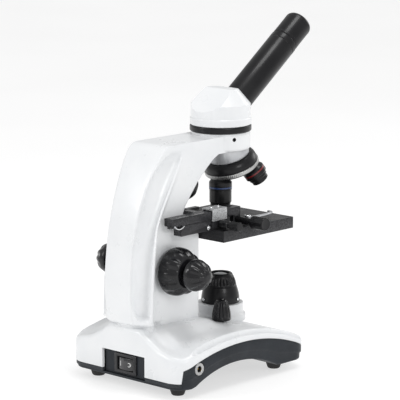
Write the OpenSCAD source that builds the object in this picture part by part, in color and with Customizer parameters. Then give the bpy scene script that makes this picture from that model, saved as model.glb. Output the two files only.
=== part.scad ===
// Monocular school microscope: curved base and arm, inclined eyepiece tube,
// triple nosepiece, mechanical stage, coaxial focus knobs and two LED lamps.
// Millimetres. +Z is up, the eyepiece looks to -Y, the arm stands at +Y and
// the origin is on the table under the middle of the overall box.

/* [Frame] */
// Position of the optical axis along Y
axis_y = -11; // [-13:0.5:-9]
// Position of the base's middle along Y
base_y = 37; // [35:0.5:39]

/* [Base] */
// Half of the base's width
base_half_w = 75; // [74:0.5:78]
// Front edge of the base
base_front = -58; // [-62:1:-56]
// Rear edge of the base
base_back = 124; // [122:1:126]
// Height of the base under the arm
base_top = 60; // [60:0.5:60.5]
// Height of the base's underside
base_low = 9; // [8:0.5:9.5]
// Thickness of the moulded walls
wall = 3; // [2.5:0.1:3.5]
// Height at which the side arches have their centre
arch_z = -99; // [-101:1:-98]
// Position of the side arches along Y
arch_y = 44; // [42:1:46]
// Radius of the arch that the underside follows
arch_r = 123; // [122:0.5:124]

/* [Arm] */
// Half thickness of the arm's front wall
arm_half_w = 22; // [21.5:0.5:22.5]
// Half width of the arm's back and grip
grip_half_w = 31; // [29:0.5:32]
// Front face of the arm's foot
arm_front = 41.5; // [41:0.5:42]
// Height of the arm's top face
arm_top = 229.6; // [229:0.2:230]

/* [Stage] */
// Side of the square stage
stage_w = 100; // [98:1:101]
// Height of the stage's top face
stage_top = 145.6; // [145:0.2:146]
// Depth of the stage with its skirt
stage_t = 11; // [10:0.5:12]
// Radius of the light hole in the stage
stage_hole_r = 11; // [10:0.5:12]

/* [Focus] */
// Position of the focus shaft along Y
focus_y = 82.8; // [82.5:0.1:83]
// Height of the focus shaft
focus_z = 111.2; // [110.5:0.1:112]
// Radius of the coarse focus knobs
coarse_r = 23; // [22:0.5:23]
// Radius of the fine focus knobs
fine_r = 15.2; // [14.6:0.2:15.6]
// Half length over the fine focus knobs
fine_reach = 71.5; // [70:0.5:72]
// Radius of the fine shaft
shaft_r = 3; // [2.8:0.1:3.2]
// Radius of the coarse sleeve
sleeve_r = 6; // [5.5:0.1:6.2]
// Radial running clearance of shafts
run = 0.05; // [0.03:0.01:0.08]

/* [Nosepiece] */
// Tilt of the turret axis from the optical axis in degrees
turret_tilt = 21; // [20:0.5:21.5]
// Height at which the objectives' axes meet
apex_z = 236; // [235:0.5:237]
// Height of the shoulder of the objective in use
shoulder_z = 185; // [184.5:0.5:186]
// Length of the objective in use
long_obj = 28.5; // [28:0.5:29]

/* [Head] */
// Radius of the black ring under the head
ring_r = 30; // [29:0.5:31]
// Radius of the head
head_r = 29; // [28:0.5:29.5]
// Height of the head's flat top
head_top = 272.5; // [270:0.5:274]
// Height at which the tube's axis meets the optical axis
tube_z = 241; // [240:0.5:242]
// Slope of the eyepiece tube above the horizontal in degrees
tube_slope = 36.7; // [36:0.1:37.5]
// Radius of the eyepiece tube
tube_r = 14.25; // [14:0.05:14.5]
// Radius of the standard eyepiece barrel
barrel_r = 11.6; // [11.6:0.05:11.65]
// Radius of the eyepiece's head
eye_r = 13.9; // [13.5:0.1:14]
// Distance along the tube to its open end
tube_end = 115; // [113:1:117]
// Distance along the tube to the top of the eyepiece
eye_end = 144; // [142:0.2:144.4]

/* [Hidden] */

white = [0.93, 0.94, 0.95];
black = [0.09, 0.09, 0.1];
slate = [0.19, 0.21, 0.24];
steel = [0.72, 0.73, 0.75];
big = 400;
$fn = 64;

foot_x = 53;
foot_dy = 67.7;
back_c = [20, 100];
back_a = [111.5, 165];
cove_a = [84.5, 123];
ridge_shift = 6;
jack_y = 98;
band_y = 38.8;
band_z = -175.2;
band_r = 217;
band_end = 117.6;
jack_z = 27;
panel_y = base_back - 4;
dome_low = 61.4;
dome_high = 90.5;
lamp_c = [45, 187];
screw_turns = [75, 195, 315];
screw_turn = -110;
clamp_z = 226;
tube_dir = [0, -cos(tube_slope), sin(tube_slope)];
knob_x = -27;
knob_y = axis_y + 27.6;
y_knob_y = 33;
x_knob_y = 6.5;
cross_z = 151;
pivot = [-42, -3.8];
guide_x = -33;

// Places the children with +Z along the tube's axis, at distance s on it
module on_tube(s = 0) {
    translate([0, axis_y, tube_z]) rotate([90 - tube_slope, 0, 0]) translate([0, 0, s]) children();
}

// Places the children with -Z along the turret's axis, its origin where the objectives' axes meet
module on_turret() {
    translate([0, axis_y, apex_z]) rotate([-turret_tilt, 0, 0]) children();
}

// Places the children on the objective axis number i, with its origin at the shoulder
module on_objective(i) {
    on_turret() rotate([0, 0, 120 * i]) rotate([turret_tilt, 0, 0])
        translate([0, 0, shoulder_z - apex_z]) children();
}

// A cylinder along X from x0 to x1
module rod_x(r, x0, x1, y, z) {
    translate([x0, y, z]) rotate([0, 90, 0]) cylinder(r = r, h = x1 - x0);
}

// A round ring along +Z
module tube(r1, r0, h) {
    difference() {
        cylinder(r = r1, h = h);
        translate([0, 0, -1]) cylinder(r = r0, h = h + 2);
    }
}

// A box given by its two corners
module span(a, b) {
    translate(a) cube(b - a);
}

// Extrudes a (Y, Z) outline over x = -w..w
module across(w) {
    translate([-w, 0, 0]) rotate([90, 0, 90]) linear_extrude(2 * w) children();
}

// The base's plan: a rectangle with round corners, shrunk by d
module base_plan(d = 0) {
    r = 18;
    x = base_half_w - r;
    linear_extrude(big)
        for (s = [-1, 1]) {
            translate([s * x, base_front + r]) circle(r - d);
            translate([s * x, base_back - r]) circle(r - d);
        }
    span([-x, base_front + d, 0], [x, base_back - d, big]);
    span([-base_half_w + d, base_front + r, 0], [base_half_w - d, base_back - r, big]);
}

// The base's saddle-shaped body: high along the middle, lower at the corners
module base_body(d = 0) {
    side_r = 230;
    mid_z = 52;
    intersection() {
        base_plan(d);
        union() {
            across(base_half_w + 1) intersection() {
                translate([arch_y, mid_z - side_r]) circle(side_r - d, $fn = 120);
                translate([base_front - 1, 0]) square([base_back - base_front + 2, big]);
            }
            rotate([90, 0, 0]) translate([0, 0, -base_back - 1])
                linear_extrude(base_back + 1 - arm_front + 10)
                    polygon([[-base_half_w, 0], [-base_half_w, 28 - d], [-64, 41 - d],
                        [-40, base_top - 4 - d], [-grip_half_w - 2, base_top - d],
                        [grip_half_w + 2, base_top - d], [40, base_top - 4 - d],
                        [64, 41 - d], [base_half_w, 28 - d], [base_half_w, 0]]);
        }
    }
}

// The flatter curve where the white body meets the side bands, stopping short of the rear
module band_curve(gap) {
    intersection() {
        translate([band_y, band_z]) circle(band_r + gap, $fn = 120);
        translate([-big, -big]) square([band_end + gap + big, 2 * big]);
    }
}

// The vault under the base, of radius r
module vault(r) {
    across(base_half_w + 2) translate([arch_y, arch_z]) circle(r, $fn = 120);
}

module base_housing() {
    tray_top = base_low + 6;
    boss_r = 22.4;
    color(white) difference() {
        union() {
            intersection() {
                base_body();
                span([-big, -big, tray_top], [big, big, big]);
            }
            translate([0, axis_y, 34]) cylinder(r = boss_r, h = dome_low - 34.1);
        }
        intersection() {
            base_body(wall);
            span([-big, -big, 0], [big, big, base_top - wall]);
        }
        across(base_half_w + 2) band_curve(0.2);
        translate([0, axis_y, 0]) cylinder(r = boss_r - wall, h = dome_low - wall);
        translate([0, axis_y, 0]) cylinder(r = 14.6, h = big);
        rod_x(6.6, -base_half_w - 1, -68, jack_y, jack_z);
        span([-28, base_back - 8, 0], [28, base_back + 1, 34.5]);
        translate([knob_x, knob_y, 0]) cylinder(r = 3.4, h = big);
        for (x = [-18, 18], y = [60, 112])
            translate([x, y, 0]) cylinder(r = 2.1, h = big);
    }
}

// Side bands follow the arch, and a vaulted floor joins them
module base_tray() {
    color(slate) difference() {
        intersection() {
            base_plan(0.4);
            across(base_half_w) difference() {
                union() {
                    band_curve(0);
                    translate([base_front, base_low]) square([base_back - base_front, 6]);
                }
                translate([arch_y, arch_z]) circle(arch_r, $fn = 120);
                translate([-big, base_low - big]) square([2 * big, big]);
                polygon([[base_front - 1, base_low - 1], [base_front + 5, base_low - 1],
                    [base_front - 1, base_low + 5]]);
            }
        }
        intersection() {
            base_plan(wall + 1.5);
            across(base_half_w) difference() {
                translate([base_front, base_low + 2.5]) square([base_back - base_front, 60]);
                translate([arch_y, arch_z]) circle(arch_r + 2.5, $fn = 120);
            }
        }
        rod_x(5, -base_half_w - 1, -60, jack_y, jack_z);
        rod_x(6.4, -base_half_w - 1, -72.9, jack_y, jack_z);
        span([-28.2, base_back - 8, base_low + 2.5], [28.2, base_back + 1, 34.5]);
        for (x = [-foot_x, foot_x], y = [base_y - foot_dy, base_y + foot_dy])
            translate([x, y, 0]) cylinder(r = 2, h = 20);
    }
    color(slate) for (x = [-26, 26], y = [66, 94])
        translate([x, y, 21.5]) cylinder(r = 2.4, h = 16.5);
}

module rear_panel() {
    color(slate) difference() {
        span([-28, panel_y - 2.5, base_low + 2.6], [28, panel_y, 34.4]);
        span([-12.5, panel_y - 5, 15], [12.5, panel_y + 5, 31]);
    }
}

module rubber_feet() {
    color(black)
        for (x = [-foot_x, foot_x], y = [base_y - foot_dy, base_y + foot_dy])
            difference() {
                translate([x, y, 0]) cylinder(r1 = 6, r2 = 8.3, h = 7);
                translate([x, y, -1]) cylinder(r = 3.6, h = 4.5);
                translate([x, y, 0]) cylinder(r = 1.9, h = base_low + 1);
            }
    color(black)
        for (x = [-foot_x, foot_x], y = [base_y - foot_dy, base_y + foot_dy])
            difference() {
                translate([x, y, 7]) cylinder(r = 8.3, h = 5.5);
                translate([x, y, 0]) cylinder(r = 1.9, h = 20);
                difference() {
                    span([-big, -big, base_low], [big, big, 40]);
                    vault(arch_r);
                }
            }
}

module foot_screws() {
    color(steel)
        for (x = [-foot_x, foot_x], y = [base_y - foot_dy, base_y + foot_dy])
            translate([x, y, 0]) difference() {
                union() {
                    translate([0, 0, 1.5]) cylinder(r = 3.4, h = 2);
                    translate([0, 0, 3]) cylinder(r = 1.8, h = 12);
                }
                translate([0, 0, 1]) cylinder(r = 1.2, h = 1.5, $fn = 6);
            }
}

module switch_bezel() {
    color(black) difference() {
        union() {
            span([-14.5, panel_y, 13.5], [14.5, panel_y + 1.6, 32.5]);
            span([-12.3, panel_y - 14, 15.2], [12.3, panel_y, 30.8]);
        }
        span([-10.4, panel_y - 8, 16.7], [10.4, panel_y + 5, 29.3]);
    }
}

// The rocker turns about a pin along Z, so that its two ends go in and out
module rocker_cap() {
    pin_y = panel_y - 4;
    color([0.14, 0.15, 0.16]) intersection() {
        span([-9.6, panel_y - 8, 17.2], [9.6, panel_y + 4, 28.8]);
        union() {
            translate([0, pin_y, 0]) cylinder(r = 3.4, h = 60);
            span([-9.6, pin_y, 0], [9.6, panel_y - 0.4, 60]);
            intersection() {
                translate([0, panel_y - 21.5, 0]) cylinder(r = 24, h = 60);
                span([-9.6, pin_y, 0], [9.6, panel_y + 4, 60]);
            }
        }
    }
}

module dc_jack_socket() {
    color([0.12, 0.12, 0.12]) difference() {
        rod_x(4.6, -73, -59, jack_y, jack_z);
        rod_x(2.75, -74, -62, jack_y, jack_z);
    }
}

module dc_jack_nut() {
    color(steel) difference() {
        rod_x(6.2, -75, -73, jack_y, jack_z);
        rod_x(2.75, -76, -72, jack_y, jack_z);
    }
}

module dc_jack_pin() {
    color("gold") rod_x(1.05, -72, -62, jack_y, jack_z);
}

module driver_board() {
    color([0.1, 0.35, 0.2]) span([-30, 62, 38], [30, 98, 39.6]);
    color(black) span([-20, 70, 39.6], [-8, 84, 44]);
    color(black) translate([10, 78, 39.6]) cylinder(r = 5, h = 9);
}

module led_board() {
    color([0.95, 0.95, 0.95]) translate([0, axis_y, dome_low - wall - 1.6]) difference() {
        cylinder(r = 18, h = 1.6);
        for (a = [0:120:359]) rotate(a) translate([16, 0, -1]) cylinder(r = 1.3, h = 4);
    }
}

module led_emitter() {
    color([1, 0.95, 0.6]) translate([0, axis_y, dome_low - wall]) {
        translate([-2.5, -2.5, 0]) cube([5, 5, 1]);
        translate([0, 0, 1]) intersection() {
            sphere(2.2);
            cylinder(r = 3, h = 3);
        }
    }
}

module illuminator_dome() {
    low_r = 18.9;
    high_r = 11;
    h = dome_high - dome_low;
    color(black) translate([0, axis_y, dome_low]) difference() {
        rotate_extrude() polygon(concat([[0, 0], [low_r, 0]],
            [for (a = [0:6:90]) [high_r + (low_r - high_r) * cos(a), h * 0.28 + h * 0.72 * sin(a)]],
            [[0, h]]));
        translate([0, 0, -1]) cylinder(r = 9, h = h + 2);
        translate([0, 0, -1]) cylinder(r = 15, h = h * 0.45);
        for (a = [0:15:359]) rotate(a) translate([low_r - 0.2, 0, h * 0.62]) cylinder(r = 1, h = h);
        for (a = screw_turns) rotate(a) translate([15.2, 0, 4]) rotate([0, 90, 0]) cylinder(r = 0.9, h = 5);
    }
}

module collector_lens() {
    color([0.8, 0.9, 1, 0.5]) translate([0, axis_y, dome_high - 7]) {
        cylinder(r = 9, h = 4);
        translate([0, 0, 4]) intersection() {
            translate([0, 0, -13.2]) sphere(16);
            cylinder(r = 9, h = 10);
        }
    }
}

module dome_screws() {
    color(steel) translate([0, axis_y, dome_low + 4])
        for (a = screw_turns) rotate(a) rotate([0, 90, 0]) {
            translate([0, 0, 18.95]) cylinder(r = 1.6, h = 1.1);
            translate([0, 0, 15.7]) cylinder(r = 0.85, h = 3.3);
        }
}

module potentiometer() {
    color([0.6, 0.6, 0.62]) translate([knob_x, knob_y, 0]) {
        translate([0, 0, 36]) cylinder(r = 8, h = 9);
        translate([0, 0, 45]) cylinder(r = 3.3, h = 3);
    }
}

module brightness_knob() {
    low = 52;
    h = 20;
    color(black) translate([knob_x, knob_y, low]) {
        difference() {
            cylinder(r1 = 9.2, r2 = 6.5, h = h);
            for (a = [0:30:359]) rotate(a) translate([9.6, 0, 2])
                rotate([0, -7.7, 0]) cylinder(r = 1.2, h = h);
        }
        translate([0, 0, 48.2 - low]) cylinder(r = 3.35, h = low - 48.2);
    }
}

function bow(c, a, t) = [c[0] + a[0] * cos(t), c[1] + a[1] * sin(t)];
back_line = [for (t = [-14:6:46]) bow(back_c, back_a, t)];

// The arm's back with the grip, seen from the side
module arm_back_outline() {
    polygon(concat([[107.5, base_top], [back_line[0][0], base_top]], back_line,
        [[91, 226.5], [86, arm_top], [64, arm_top], [64, 208], [76, 196], [90, 175], [101, 150], [107.5, 122]]));
}

// The arm's front wall and its neck
module arm_front_outline() {
    polygon([[arm_front, base_top], [108, base_top], [112, 120], [106, 160], [92, 195], [80, 222],
        [78, arm_top], [axis_y, arm_top], [axis_y, 214], [12, 214], [20, 210], [29, 203],
        [41.5, 192], [59.4, 170], [62.9, 163], [62.9, 141], [arm_front, 141]]);
}

// The banana-shaped grip recess in each flank
module grip_outline() {
    inner = [92, 128];
    outer = [105, 140];
    polygon(concat([for (t = [-20:6:58]) bow(back_c, inner, t)],
        [for (t = [58:-6:-20]) bow(back_c, outer, t)]));
}

module arm() {
    cavity_w = 17;
    color(white) difference() {
        union() {
            intersection() {
                across(grip_half_w) arm_back_outline();
                rotate([90, 0, 0]) translate([0, 0, -big / 2]) linear_extrude(big)
                    polygon([[-grip_half_w, 0], [-grip_half_w, 105], [-25.6, 146], [-23, arm_top + 1],
                        [23, arm_top + 1], [25.6, 146], [grip_half_w, 105], [grip_half_w, 0]]);
            }
            across(arm_half_w) arm_front_outline();
            translate([0, axis_y, 214]) cylinder(r = head_r, h = 17.6);
        }
        for (s = [-1, 1]) translate([s * (24 + 20), 0, 0]) across(20) grip_outline();
        span([-cavity_w, 45.5, base_top + 4], [cavity_w, 116, 155]);
        span([-9, 40, base_top + 6], [9, 46, 160]);
        rod_x(8, -25, 25, focus_y, focus_z);
        translate([0, axis_y, 200]) cylinder(r = 12.5, h = 60);
        translate([0, axis_y, 226]) cylinder(r = 18.3, h = 10);
        translate([0, axis_y, clamp_z]) rotate([0, 0, screw_turn]) rotate([90, 0, 0])
            translate([0, 0, 19.5]) cylinder(r = 2, h = 20);
        for (x = [-18, 18], y = [60, 112])
            translate([x, y, base_top - 1]) cylinder(r = 1.7, h = 5);
        translate([0, lamp_c[0], lamp_c[1]]) rotate([129, 0, 0])
            translate([0, 0, -30]) cylinder(r = 6, h = 40);
    }
}

module arm_screws() {
    color(steel)
        for (x = [-18, 18], y = [60, 112])
            translate([x, y, base_top - wall]) {
                translate([0, 0, -3]) cylinder(r = 3.6, h = 3);
                cylinder(r = 1.65, h = 6.8);
            }
}

module sleeve_bushes() {
    color("goldenrod")
        for (s = [-1, 1]) difference() {
            rod_x(8, s * 19.5 - 2.5, s * 19.5 + 2.5, focus_y, focus_z);
            rod_x(sleeve_r + run, s * 19.5 - 4, s * 19.5 + 4, focus_y, focus_z);
        }
}

module guide_rails() {
    color(steel)
        for (s = [-1, 1])
            span([min(s * 15, s * 17), 48, 70], [max(s * 15, s * 17), 57, 138]);
}

module on_lamp() {
    translate([0, lamp_c[0], lamp_c[1]]) rotate([129, 0, 0]) children();
}

module top_lamp_housing() {
    color(black) on_lamp() difference() {
        union() {
            translate([0, 0, 2]) cylinder(r = 14, h = 8);
            translate([0, 0, 10]) cylinder(r1 = 14, r2 = 9, h = 6);
            translate([0, 0, -8]) cylinder(r = 5.9, h = 11);
        }
        translate([0, 0, 6]) cylinder(r = 7, h = 20);
    }
}

module top_lamp_lens() {
    color([1, 1, 0.9, 0.6]) on_lamp() translate([0, 0, 11]) cylinder(r = 7, h = 3);
}

module head_ring() {
    color(black) translate([0, axis_y, 231.6]) difference() {
        cylinder(r = ring_r, h = 6);
        translate([0, 0, -1]) cylinder(r = 18.3, h = 8);
    }
}

module head_clamp_screw() {
    color([0.15, 0.15, 0.16]) translate([0, axis_y, clamp_z]) rotate([0, 0, screw_turn])
        rotate([90, 0, 0]) translate([0, 0, 20]) difference() {
            cylinder(r = 1.95, h = 8.7);
            translate([0, 0, 6.2]) cylinder(r = 1, h = 4, $fn = 6);
        }
}

// The head is a round shell with a sloped back and an oblique front face for the tube
module head_body() {
    low = 237.9;
    color(white) difference() {
        union() {
            translate([0, axis_y, low]) cylinder(r = ring_r - 0.2, h = 7);
            intersection() {
                translate([0, axis_y, low]) {
                    cylinder(r = head_r, h = 20);
                    translate([0, 0, 20]) cylinder(r1 = head_r, r2 = 17, h = head_top - low - 20);
                }
                translate([0, axis_y, low + 14]) rotate([-38, 0, 0])
                    translate([-big, -big, -big]) cube([2 * big, 2 * big, big + 18]);
                on_tube() translate([-big / 2, -big / 2, -big]) cube([big, big, big + 27]);
            }
            translate([0, axis_y, 226.5]) difference() {
                cylinder(r = 18.2, h = 14);
            }
        }
        translate([0, axis_y, 220]) cylinder(r = 14, h = 32);
        on_tube(-6) cylinder(r = 13, h = 60);
        on_tube(14.6) cylinder(r = tube_r, h = 60);
    }
}

module head_prism() {
    color([0.85, 0.92, 1, 0.5]) on_tube(-5.8) translate([-9, -9, 0]) cube([18, 18, 14]);
}

module eyepiece_tube() {
    color(black) on_tube() difference() {
        translate([0, 0, 14.6]) cylinder(r = tube_r, h = tube_end - 14.6);
        translate([0, 0, 11]) cylinder(r = 10.6, h = tube_end);
        translate([0, 0, tube_end - 34]) cylinder(r = barrel_r + run, h = 40);
    }
}

module eyepiece_body() {
    color(black) on_tube() difference() {
        union() {
            translate([0, 0, tube_end - 32]) cylinder(r = barrel_r, h = 34);
            translate([0, 0, tube_end + 0.1]) cylinder(r = eye_r, h = eye_end - tube_end - 2.1);
            translate([0, 0, eye_end - 2]) cylinder(r1 = eye_r, r2 = eye_r - 1.2, h = 2);
        }
        translate([0, 0, tube_end - 33]) cylinder(r = 10.4, h = 30);
        translate([0, 0, tube_end - 4]) cylinder(r = 8, h = 40);
        translate([0, 0, eye_end - 1.6]) cylinder(r = 11.5, h = 3);
    }
}

module eye_lens() {
    color([0.8, 0.9, 1, 0.5]) on_tube(eye_end - 8) cylinder(r = 8, h = 4.5);
}

module field_lens() {
    color([0.8, 0.9, 1, 0.5]) on_tube(tube_end - 30) cylinder(r = 10.4, h = 4);
}

module nosepiece_base() {
    color([0.75, 0.75, 0.77]) difference() {
        intersection() {
            on_turret() translate([0, 0, -32.6]) cylinder(r = 21, h = 30);
            translate([0, axis_y, 195]) cylinder(r = head_r - 1, h = 19);
        }
        translate([0, axis_y, 190]) cylinder(r = 6.5, h = 40);
        on_turret() translate([0, 0, -40]) cylinder(r = 3, h = 12);
    }
}

module turret_disc() {
    color(black) difference() {
        on_turret() {
            rotate_extrude() polygon(concat([[0, -47.5], [25.4, -47.5], [26.3, -46.2]],
                [for (a = [0:10:70]) [20 + 6.3 * cos(a), -42 + 9.2 * sin(a) / sin(70)]],
                [[0, -32.8]]));
            translate([0, 0, -35]) cylinder(r = 2.95, h = 5);
        }
        objective_seats();
    }
}

// Threaded holes and seats that the objectives need in the turret
module objective_seats() {
    for (i = [0:2]) on_objective(i) {
        cylinder(r = 7.95, h = 30);
        translate([0, 0, -14]) cylinder(r = 11.3, h = 10);
        translate([0, 0, -4.01]) cylinder(r1 = 11.3, r2 = 8.3, h = 4.02);
    }
}

module turret_ring() {
    color(steel) difference() {
        on_turret() translate([0, 0, -46]) tube(27.3, 26.3, 4);
        objective_seats();
    }
}

// Straight body with a shoulder and a narrower nose; r and h are the body's size
module objective(r, h, nose_r, nose_h) {
    difference() {
        union() {
            translate([0, 0, -h]) cylinder(r = r, h = h - 4);
            translate([0, 0, -4]) cylinder(r1 = r, r2 = 8.2, h = 4);
            translate([0, 0, -h - nose_h]) cylinder(r1 = nose_r - 1.5, r2 = nose_r, h = nose_h);
            cylinder(r = 7.9, h = 5);
        }
        translate([0, 0, -h - nose_h - 1]) cylinder(r = 3.5, h = 80);
    }
}

module objective_40x() {
    color(black) on_objective(0) difference() {
        objective(11.2, 12, 10.8, long_obj - 12);
        translate([0, 0, -10.6]) tube(12, 10.4, 3);
    }
}

module objective_10x() {
    color(black) on_objective(1) difference() {
        objective(11.2, 11, 9.5, 8);
        translate([0, 0, -8.6]) tube(12, 10.4, 3);
    }
}

module objective_4x() {
    color(black) on_objective(2) difference() {
        objective(10.4, 9, 9, 4);
        translate([0, 0, -8.1]) tube(12, 10, 3);
    }
}

// Coloured magnification bands, one on each objective
module objective_bands() {
    color([0.2, 0.35, 0.55]) on_objective(0) translate([0, 0, -10.5]) tube(11.3, 10.4, 2.8);
    color([0.6, 0.1, 0.12]) on_objective(1) translate([0, 0, -8.5]) tube(11.3, 10.4, 2.8);
    color([0.75, 0.6, 0.2]) on_objective(2) translate([0, 0, -8]) tube(10.5, 10, 2.8);
}

module objective_lenses() {
    color([0.8, 0.9, 1, 0.5]) {
        on_objective(0) translate([0, 0, -long_obj + 0.6]) cylinder(r = 3.5, h = 2.5);
        on_objective(1) translate([0, 0, -18.4]) cylinder(r = 3.5, h = 2.5);
        on_objective(2) translate([0, 0, -12.4]) cylinder(r = 3.5, h = 2.5);
    }
}

// A domed coarse knob that points to +X, bored for the sleeve and the fine shaft
module coarse_knob() {
    rotate([0, 90, 0]) difference() {
        rotate_extrude() polygon([[0, 22.6], [12, 22.6], [12, 25.6], [19.5, 26.4], [22, 27.4], [coarse_r, 29.4],
            [coarse_r, 35], [22.4, 39], [20.6, 43], [17.6, 46.4], [15, 47.8], [0, 47.8]]);
        translate([0, 0, 20]) cylinder(r = sleeve_r, h = 24.5);
        translate([0, 0, 20]) cylinder(r = shaft_r + 0.4, h = 40);
        for (a = [0:30:359]) rotate(a) translate([29.6, 0, 30])
            rotate([0, -12, 0]) cylinder(r = 7.2, h = 30);
    }
}

module coarse_knob_left() {
    color(black) translate([0, focus_y, focus_z]) mirror([1, 0, 0]) coarse_knob();
}

module coarse_knob_right() {
    color(black) translate([0, focus_y, focus_z]) coarse_knob();
}

// Hollow shaft with the pinion that drives the stage's rack
module coarse_sleeve() {
    color(steel) difference() {
        union() {
            rod_x(sleeve_r, -44.4, 44.4, focus_y, focus_z);
            rod_x(7.4, -6, 6, focus_y, focus_z);
        }
        rod_x(shaft_r + run, -60, 60, focus_y, focus_z);
    }
}

module fine_shaft() {
    color(steel) rod_x(shaft_r, -60, 60, focus_y, focus_z);
}

// A small knob with a fluted cone that points to +X
module fine_knob() {
    rotate([0, 90, 0]) difference() {
        rotate_extrude() polygon([[0, 48.3], [10, 48.3], [10, 51.4], [13.6, 52], [fine_r, 54], [fine_r, 58.5],
            [14.2, 61.5], [11.8, 65.5], [8, 69], [4, fine_reach], [0, fine_reach]]);
        translate([0, 0, 40]) cylinder(r = shaft_r, h = 20);
        for (a = [0:45:359]) rotate(a) translate([17, 0, 58])
            rotate([0, -38, 0]) translate([0, 0, -4]) cylinder(r = 2.2, h = 24);
    }
}

module fine_knob_left() {
    color(black) translate([0, focus_y, focus_z]) mirror([1, 0, 0]) fine_knob();
}

module fine_knob_right() {
    color(black) translate([0, focus_y, focus_z]) fine_knob();
}

// A cradle between the guide rails that carries the stage's slider
module fine_carriage() {
    color(steel) {
        span([-14.6, 47.5, 72], [14.6, 57, 80]);
        for (s = [-1, 1])
            span([min(s * 13, s * 14.6), 47.5, 80], [max(s * 13, s * 14.6), 57, 136]);
    }
}

// The bracket holds the stage, runs in the arm's slot and carries the rack
module stage_bracket() {
    top = stage_top - stage_t + 6;
    color(black) {
        span([-16, axis_y + stage_w / 2, top - 10], [16, axis_y + stage_w / 2 + 2.2, top]);
        span([-8.6, axis_y + stage_w / 2 + 2.2, 116], [8.6, 47.8, top]);
        span([-12.7, 47.8, 100], [12.7, 53, top]);
    }
    color("goldenrod") {
        span([-3, 53, 104], [3, 70, top]);
        span([-5, 70, 96], [5, focus_y - 7.8, top]);
    }
}

module stage_plate() {
    low = stage_top - stage_t;
    half = stage_w / 2;
    color(black) translate([0, axis_y, 0]) difference() {
        span([-half - 0.5, -half, low], [half + 0.5, half, stage_top]);
        span([-half + 3, -half + 3, low - 1], [half - 3, half - 3, stage_top - 4]);
        translate([0, 0, low]) cylinder(r = stage_hole_r, h = 20);
    }
    color(black) translate([14, axis_y, low + 1]) cylinder(r = 2, h = stage_t - 5);
}

module condenser_lens() {
    color([0.8, 0.9, 1, 0.5]) translate([0, axis_y, stage_top - 3.5]) cylinder(r = stage_hole_r, h = 2.6);
}

// A disc with five round stops turns under the stage, its rim within a finger's reach
module diaphragm_disc() {
    stops = [7, 5.5, 4, 2.5, 1.2];
    color([0.2, 0.2, 0.2]) translate([14, axis_y, stage_top - 7.5]) difference() {
        cylinder(r = 24, h = 1.2);
        translate([0, 0, -1]) cylinder(r = 2 + run, h = 5);
        for (i = [0:4]) rotate(180 + 72 * i) translate([14, 0, -1]) cylinder(r = stops[i], h = 4);
    }
}

// The guide that clamps to the stage's left rear and overhangs it
module stage_guide() {
    color(black) difference() {
        union() {
            span([guide_x - 5, 17, stage_top], [guide_x + 5, 84, 155.6]);
            span([guide_x - 5, 17, stage_top], [guide_x + 11, 32, stage_top + 1.8]);
        }
        span([guide_x - 2.3, 0, 151.4], [guide_x + 2.3, 100, 160]);
        rod_x(2.6, guide_x - 20, guide_x + 20, y_knob_y, cross_z);
    }
}

// The saddle over the slide bar that carries the pinion
module pinion_bracket() {
    color([0.78, 0.78, 0.78]) difference() {
        span([guide_x - 7.2, 23, 147.5], [guide_x + 7.2, 43, 165.8]);
        span([guide_x - 5, 0, 140], [guide_x + 5, 100, 155.6]);
        span([guide_x - 5.9, 0, 155.4], [guide_x + 5.9, 100, 164]);
        rod_x(2.6, guide_x - 20, guide_x + 20, y_knob_y, cross_z);
    }
}

// The slide that moves along Y: bar, rack and the housing of the cross movement
module cross_slide() {
    color(black) {
        span([guide_x - 5.6, 2.4, 156], [guide_x + 5.6, 96, 163.6]);
        span([guide_x - 2, 12.6, 153.9], [guide_x + 2, 96, 156]);
    }
    color(black) difference() {
        span([guide_x - 5.6, 2.4, 146.4], [guide_x + 5.6, 12.6, 156]);
        rod_x(3.2, guide_x - 20, guide_x + 20, x_knob_y, cross_z);
    }
    color(black) difference() {
        span([guide_x + 5.6, 3.4, 146.4], [30, 9.4, 151]);
        span([guide_x + 6.6, 3, 147.6], [31, 6.4, 149.8]);
    }
}

// The cross slide's holder with the fixed jaw that the glass slide rests against
module slide_holder() {
    color(black) {
        span([-6, -0.2, 147.9], [30, 6.1, 149.5]);
        span([-44.8, -2.2, 146.2], [44, -0.2, 150]);
        span([38.6, -22, 146.2], [44, -2.2, 149.2]);
        span([-44.8, -6.4, 146.2], [-39.2, -2.2, 150]);
    }
    color(steel) translate([pivot.x, pivot.y, 149.9]) cylinder(r = 1.9, h = 4.7);
}

// The sprung finger that presses the glass slide into the jaw
module spring_finger() {
    color(steel) translate([pivot.x, pivot.y, 150.4]) difference() {
        union() {
            cylinder(r = 3.4, h = 1.8);
            span([-1.6, -40, 0], [1.6, 0, 1.8]);
            span([-1.6, -40, -3.6], [1.6, -37.5, 1.8]);
        }
        translate([0, 0, -5]) cylinder(r = 1.9 + run, h = 9);
    }
}

module y_knob() {
    color(black) {
        rod_x(4.3, -66, guide_x - 7.6, y_knob_y, cross_z);
        rod_x(2.55, guide_x - 7.6, guide_x + 8, y_knob_y, cross_z);
    }
}

module x_knob() {
    color(black) {
        rod_x(6.3, -75, -58, x_knob_y, cross_z);
        rod_x(3.15, -58, guide_x + 5.2, x_knob_y, cross_z);
    }
}

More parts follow.
